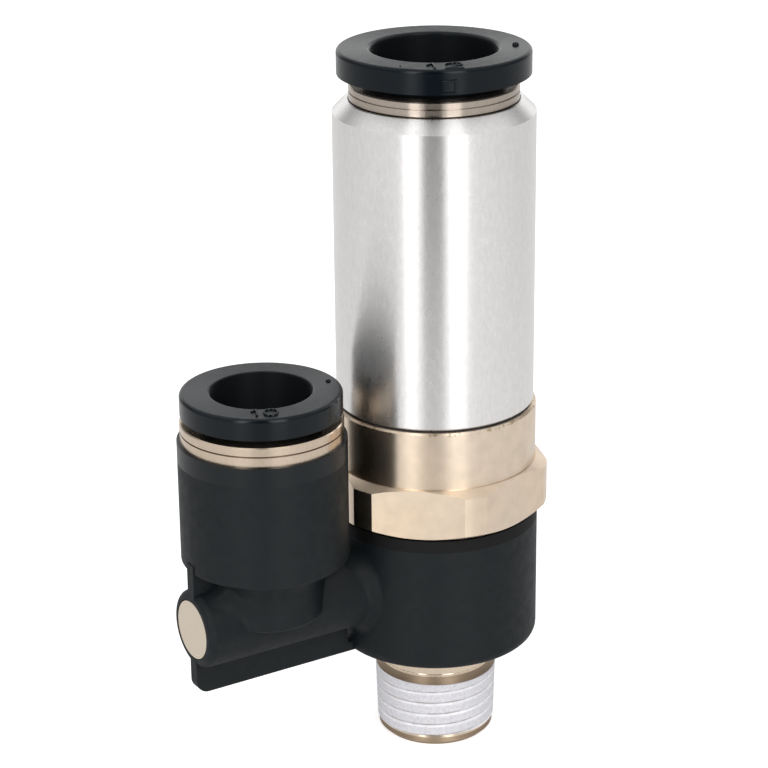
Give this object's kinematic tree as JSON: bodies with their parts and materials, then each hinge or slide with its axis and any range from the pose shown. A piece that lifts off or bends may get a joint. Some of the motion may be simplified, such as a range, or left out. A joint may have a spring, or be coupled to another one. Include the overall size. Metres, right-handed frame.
{
  "type": "vacuum ejector",
  "caption": "In-line vacuum ejector: aluminium barrel on a hexagon body, taper-thread vacuum port, and push-in exhaust and swivelling elbow supply sockets.",
  "frame": {"origin": "centre of the lower end of the taper thread, on the ejector's axis", "axes": "+Z along the ejector's axis from the vacuum port to the exhaust socket; the elbow's arm points along -X"},
  "size_m": [0.0418, 0.024, 0.0768],
  "materials": {
    "aluminium": "fine turned, clear anodised",
    "nickel_brass": "nickel plated, satin",
    "bare_brass": "machined",
    "sealing_coat": "matt fluoropolymer coat",
    "dark_resin": "moulded, semi-matt with polished bands",
    "spring_steel": "rolled strip",
    "rubber": "moulded nitrile rubber"
  },
  "bodies": {
    "ejector": {"threaded_stud": "nickel_brass", "thread_sealant": "sealing_coat", "hex_body": "nickel_brass", "barrel": "aluminium", "joint_gasket": "rubber", "nozzle_ring": "bare_brass", "nozzle_seal": "rubber", "diffuser": "aluminium", "swivel_seal_upper": "rubber", "exhaust_guide_ring": "nickel_brass", "exhaust_lock_claws": "spring_steel", "exhaust_tube_seal": "rubber"},
    "exhaust_release": {"exhaust_release_ring": "dark_resin"},
    "supply_elbow": {"elbow_housing": "dark_resin", "swivel_seal_lower": "rubber", "end_plug": "nickel_brass", "end_plug_seal": "rubber", "supply_guide_ring": "nickel_brass", "supply_lock_claws": "spring_steel", "supply_tube_seal": "rubber"},
    "supply_release": {"supply_release_ring": "dark_resin"}
  },
  "joints": [
    {"name": "elbow_swivel", "type": "hinge", "parent": "ejector", "child": "supply_elbow", "pos_m": [0, 0, 0.0192], "axis": [0, 0, 1], "continuous": true},
    {"name": "exhaust_release_press", "type": "slide", "parent": "ejector", "child": "exhaust_release", "axis": [0, 0, -1], "range_m": [0, 0.0009], "stiffness_N_per_m": 3000},
    {"name": "supply_release_press", "type": "slide", "parent": "supply_elbow", "child": "supply_release", "axis": [0, 0, -1], "range_m": [0, 0.0006], "stiffness_N_per_m": 3000}
  ]
}
